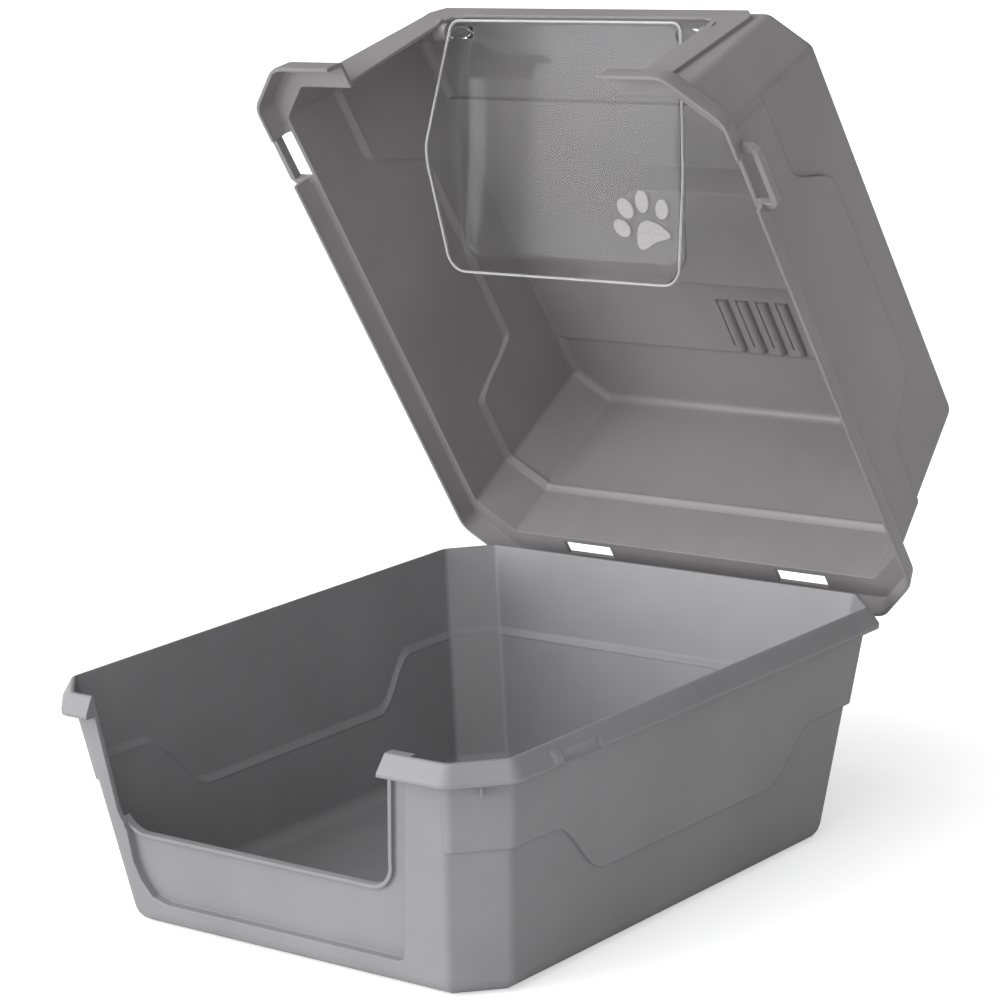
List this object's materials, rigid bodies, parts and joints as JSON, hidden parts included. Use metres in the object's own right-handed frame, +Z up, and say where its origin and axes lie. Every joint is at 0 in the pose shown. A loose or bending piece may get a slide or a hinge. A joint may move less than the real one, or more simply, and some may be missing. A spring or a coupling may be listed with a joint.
{
  "type": "hooded cat litter box",
  "caption": "Hooded cat litter box with an open-front pan, a lift-up hood on a rear hinge, a clear swing flap and a carry handle folded in the roof.",
  "frame": {"origin": "centre of the pan's underside, on the floor", "axes": "+X to the right as seen from the front, +Y to the back, where the hood's hinge is, +Z up"},
  "size_m": [0.483, 0.6556, 0.65],
  "materials": {
    "grey_plastic": "satin, fine moulded grain",
    "clear_plastic": "clear, glossy",
    "print_white": "frosted, raised"
  },
  "bodies": {
    "pan": {"litter_pan": "grey_plastic"},
    "lid": {"hood": "grey_plastic"},
    "flap": {"flap_door": "clear_plastic", "paw_print": "print_white"},
    "handle": {"carry_handle": "grey_plastic"}
  },
  "joints": [
    {"name": "hood_hinge", "type": "hinge", "parent": "pan", "child": "lid", "pos_m": [0, 0.2615, 0.151], "axis": [1, 0, 0], "range_deg": [0, 61]},
    {"name": "flap_swing", "type": "hinge", "parent": "lid", "child": "flap", "pos_m": [0, 0.16386, 0.63345], "axis": [1, 0, 0], "range_deg": [-135, 14]},
    {"name": "handle_fold", "type": "hinge", "parent": "lid", "child": "handle", "pos_m": [0, 0.26761, 0.49682], "axis": [1, 0, 0], "range_deg": [0, 95]}
  ]
}
